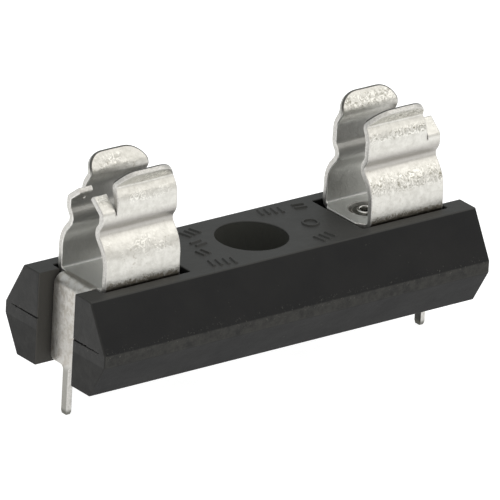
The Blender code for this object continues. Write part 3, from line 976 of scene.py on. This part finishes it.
def tin_plating():
    """Dull tin plating on spring sheet: soft, mottled and stained, with bands on the arms that are partly
    scuffs and partly painted glints, and with painted shade and painted reflections in set places.
    """
    material, tree, shader = new_material("clip_plating")
    link = tree.links.new
    height = along(tree, "Z")
    outwards = facing_out(tree, "Y")

    mottle = remap(tree, grain(tree, 0.42, 5.0, 0.65, seed=2.0), 0.38, 0.66, 0, 1)
    colour = blend_colour(tree, mottle, TIN_PALE, TIN_DULL)
    stains = remap(tree, grain(tree, 0.30, 3.0, 0.6, 0.4, seed=9.0), 0.60, 0.70, 0, 0.6)
    patches = remap(tree, grain(tree, 2.2, 2.0, seed=4.0), 0.42, 0.60, 0, 1)
    colour = blend_colour(tree, product(tree, stains, patches), colour, TIN_STAIN)

    # Painted shade: the outer faces are darkened along the concave neck, where shade falls in the valley.
    neck = product(tree, fade(tree, away_from(tree, height, NECK_BAND_Z), 1.05, 0.3, 0.85),
                   remap(tree, outwards, 0.1, 0.5, 0, 1))
    colour = blend_colour(tree, neck, colour, TIN_NECK_SHADE)
    colour = floor_tones(tree, colour, height)
    # Painted shade: the arms' inner faces below the lip are darkened, as shade falls between the arms.
    inside = remap(tree, outwards, -0.3, -0.8, 0, 0.8, True)
    inside_shade_below_lip = product(tree, inside, fade(tree, height, 15.2, 14.6, smooth=False))
    colour = blend_colour(tree, inside_shade_below_lip, colour, TIN_INSIDE_SHADE)

    right = remap(tree, along(tree, "X"), -1 * MM, 1 * MM, 0, 1)
    scuffed = scuff_and_glint_bands(tree, height, outwards, right)
    # Dark and bright flecks in the bands: partly scratches and rubbed spots, partly painted dark flecks and
    # painted glints where the reflections change.
    scratches = grain(tree, 0.52, 2.5, 0.55, 3.0, seed=11.0)
    dark = product(tree, scuffed, remap(tree, scratches, 0.56, 0.64, 0, 0.8),
                   remap(tree, right, 0, 1, 0.45, 1))
    bright = product(tree, scuffed, remap(tree, scratches, 0.47, 0.41, 0, 0.9))
    colour = blend_colour(tree, dark, colour, TIN_SCRATCH_AND_SHADE)
    colour = blend_colour(tree, bright, colour, TIN_RUBBED_AND_GLINT)

    # Painted shade: a ragged dark line along the arms' roots, where shade falls in the gap against the base.
    ragged = remap(tree, grain(tree, 0.30, 4.0, 0.7, seed=5.0), 0.3, 0.7, -0.38 * MM, 0.38 * MM)
    root = fade(tree, maths(tree, "ADD", height, ragged), 8.30, 8.00, 0.75)
    outer_face = fade(tree, away_from_middle(tree, "Y"), 2.75, 2.95)
    colour = blend_colour(tree, product(tree, root, outer_face), colour, TIN_ROOT_SHADE)
    colour = terminal_tones(tree, colour, height)
    link(darkened_pin(tree, colour), shader.inputs["Base Color"])

    rough = remap(tree, grain(tree, 0.8, 4.0, 0.6, seed=8.0), 0.3, 0.7, 0.30, 0.40)
    rough = maths(tree, "ADD", rough, product(tree, inside, 0.14))
    link(maths(tree, "ADD", rough, product(tree, neck, 0.14)), shader.inputs["Roughness"])
    pits = relief(tree, grain(tree, 0.16, 3.0, 0.6), 0.012)
    waves = relief(tree, grain(tree, 0.6, 3.0, 0.6, 0.5, seed=1.0), 0.028, pits)
    link(relief(tree, product(tree, scuffed, scratches), 0.045, waves), shader.inputs["Normal"])
    shader.inputs["Metallic"].default_value = 1.0
    return material


def cut_edge_metal():
    """Sheared edges of the plated sheet: brighter and streaked through the thickness."""
    material, tree, shader = new_material("clip_cut_edge")
    link = tree.links.new
    streaks = grain(tree, 0.16, 3.0, 0.6, seed=12.0)
    colour = blend_colour(tree, remap(tree, streaks, 0.35, 0.65, 0, 1), CUT_BRIGHT, CUT_DULL)
    link(darkened_pin(tree, colour), shader.inputs["Base Color"])
    link(remap(tree, streaks, 0.3, 0.7, 0.42, 0.55), shader.inputs["Roughness"])
    link(relief(tree, streaks, 0.006), shader.inputs["Normal"])
    shader.inputs["Metallic"].default_value = 1.0
    return material


def burr_metal():
    """The burr along a sheared edge: bare steel, with painted shade that makes it dark at the lips, and
    polished lower down.
    """
    material, tree, shader = new_material("clip_burr")
    link = tree.links.new
    streaks = grain(tree, 0.25, 3.0, 0.6, seed=13.0)
    colour = blend_colour(tree, remap(tree, streaks, 0.35, 0.65, 0, 1), BURR_BRIGHT, BURR_DULL)
    # Painted shade: the burr is darkened towards the lips, in place of the dark surroundings it reflects
    # there.
    lip = fade(tree, along(tree, "Z"), 15.0, 16.2)
    link(blend_colour(tree, lip, colour, BURR_LIP_SHADE), shader.inputs["Base Color"])
    link(remap(tree, streaks, 0.3, 0.7, 0.30, 0.42), shader.inputs["Roughness"])
    shader.inputs["Metallic"].default_value = 1.0
    return material


def rivet_metal():
    """Bright rivet metal with small dents, painted dark on its upward flats as painted shade, so that only
    the rounded sides catch light.
    """
    material, tree, shader = new_material("rivet_metal")
    link = tree.links.new
    mottle = grain(tree, 0.35, 4.0, 0.6, seed=15.0)
    colour = blend_colour(tree, remap(tree, mottle, 0.35, 0.65, 0, 1), RIVET_BRIGHT, RIVET_DULL)
    # Painted shade: faces that point straight up are painted dark.
    flat = remap(tree, facing(tree, "Z"), 0.93, 0.99, 0, 1, True)
    link(blend_colour(tree, flat, colour, RIVET_FLAT_SHADE), shader.inputs["Base Color"])
    link(remap(tree, mottle, 0.3, 0.7, 0.16, 0.26), shader.inputs["Roughness"])
    link(relief(tree, grain(tree, 0.25, 3.0, seed=16.0), 0.01), shader.inputs["Normal"])
    shader.inputs["Metallic"].default_value = 1.0
    return material


# ---------------------------------------------------------------- studio

CAMERA_AZIMUTH = -38.29
CAMERA_ELEVATION = 22.8
CAMERA_ROLL = 3.12
CAMERA_DISTANCE = 0.924
CAMERA_TARGET = Vector((-0.00009, 0.0, 0.0066))
LENS = 845.0
SENSOR = 36.0
CLIP_START = 0.05
CLIP_END = 10.0
FLOOR_GLOW = 0.92
FLOOR_RADIUS = 3000.0
FLOOR_GAP = 0.02
WARM_WHITE = (1.0, 0.985, 0.955)
COOL_WHITE = (0.95, 0.99, 1.0)
HORIZON_FRONT = 0.88
HORIZON_BACK = 0.55
ZENITH = 0.95
KEY_AZIMUTH = 50.0
KEY_ELEVATION = 48.0
KEY_DISTANCE = 0.70
KEY_SIZE = 0.60
KEY_RADIANCE = 0.80


def direction(azimuth, elevation):
    """Unit vector towards the viewer at an azimuth round the object and a height above the horizon."""
    a, e = math.radians(azimuth), math.radians(elevation)
    return Vector((math.sin(a) * math.cos(e), -math.cos(a) * math.cos(e), math.sin(e)))


def add_camera():
    data = bpy.data.cameras.new("camera")
    data.lens = LENS
    data.sensor_width = SENSOR
    data.clip_start = CLIP_START
    data.clip_end = CLIP_END
    camera = bpy.data.objects.new("camera", data)
    bpy.context.scene.collection.objects.link(camera)
    back = direction(CAMERA_AZIMUTH, CAMERA_ELEVATION)
    level = Vector((0, 0, 1)).cross(back).normalized()
    upright = back.cross(level)
    roll = math.radians(CAMERA_ROLL)
    right = math.cos(roll) * level + math.sin(roll) * upright
    up = back.cross(right)
    rotation = Matrix((right, up, back)).transposed().to_4x4()
    camera.matrix_world = Matrix.Translation(CAMERA_TARGET + back * CAMERA_DISTANCE) @ rotation
    bpy.context.scene.camera = camera


def add_softbox(name, azimuth, elevation, distance, size, radiance, colour):
    """A square lamp that faces the object, with a set brightness per area."""
    data = bpy.data.lights.new(name, "AREA")
    data.shape = "SQUARE"
    data.size = size
    data.energy = radiance * math.pi * size ** 2
    data.color = colour
    lamp = bpy.data.objects.new(name, data)
    bpy.context.scene.collection.objects.link(lamp)
    back = direction(azimuth, elevation)
    lamp.location = CAMERA_TARGET + back * distance
    lamp.rotation_mode = "QUATERNION"
    lamp.rotation_quaternion = back.to_track_quat("Z", "Y")


def add_floor():
    bm = bmesh.new()
    bmesh.ops.create_circle(bm, cap_ends=True, radius=FLOOR_RADIUS, segments=64)
    bmesh.ops.translate(bm, verts=bm.verts, vec=(0, 0, PIN_TIP_Z - FLOOR_GAP))
    material, tree, shader = new_material("studio_floor")
    speck = remap(tree, grain(tree, 40.0, 2.0), 0.3, 0.7, 0.40, 0.42)
    colour = node(tree, "CombineColor", {0: speck, 1: speck, 2: speck}).outputs[0]
    tree.links.new(colour, shader.inputs["Base Color"])
    shader.inputs["Roughness"].default_value = 0.8
    shader.inputs["Specular IOR Level"].default_value = 0.1
    shader.inputs["Emission Color"].default_value = (1.0, 1.0, 1.0, 1.0)
    shader.inputs["Emission Strength"].default_value = FLOOR_GLOW
    close_mesh("studio_floor", bm, [material])


def add_world():
    world = bpy.data.worlds.new("studio")
    bpy.context.scene.world = world
    world.use_nodes = True
    tree = world.node_tree
    view = node(tree, "SeparateXYZ", {0: node(tree, "TexCoord").outputs["Generated"]})
    behind = remap(tree, view.outputs["Y"], -0.3, 0.7, 0.0, 1.0, True)
    horizon = remap(tree, behind, 0.0, 1.0, HORIZON_FRONT, HORIZON_BACK)
    rise = remap(tree, view.outputs["Z"], 0.30, 1.0, 0.0, 1.0, True)
    shade = node(tree, "Mix", {0: rise, 2: horizon, 3: ZENITH}).outputs[0]
    background = tree.nodes["Background"]
    tree.links.new(shade, background.inputs["Strength"])
    tree.links.new(blend_colour(tree, behind, WARM_WHITE, COOL_WHITE), background.inputs["Color"])


def main():
    plastic = base_plastic()
    sheet_metals = [tin_plating(), cut_edge_metal(), burr_metal()]
    rivets = rivet_metal()

    base = build_base([plastic])
    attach(base, "holder")
    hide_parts("base_moulding")
    seed = 1.0
    for name, side in SIDES.items():
        floor = build_floor(f"clip_{name}_floor", side, sheet_metals)
        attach(floor, "holder")
        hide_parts("clip_" + name)
        rivet = build_rivet(f"rivet_{name}_tube", side, [rivets])
        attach(rivet, "holder")
        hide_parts("rivet_" + name)
        for face_name, face in FACES.items():
            arm = build_arm(f"clip_{name}_{face_name}_arm", side, face, seed, sheet_metals)
            seed += 1.0
            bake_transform(arm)
            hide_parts(f"arm_{name}_{face_name}")

    bpy.context.scene.view_settings.view_transform = "Standard"
    add_camera()
    add_floor()
    add_world()
    add_softbox("key", KEY_AZIMUTH, KEY_ELEVATION, KEY_DISTANCE, KEY_SIZE, KEY_RADIANCE, WARM_WHITE)


main()
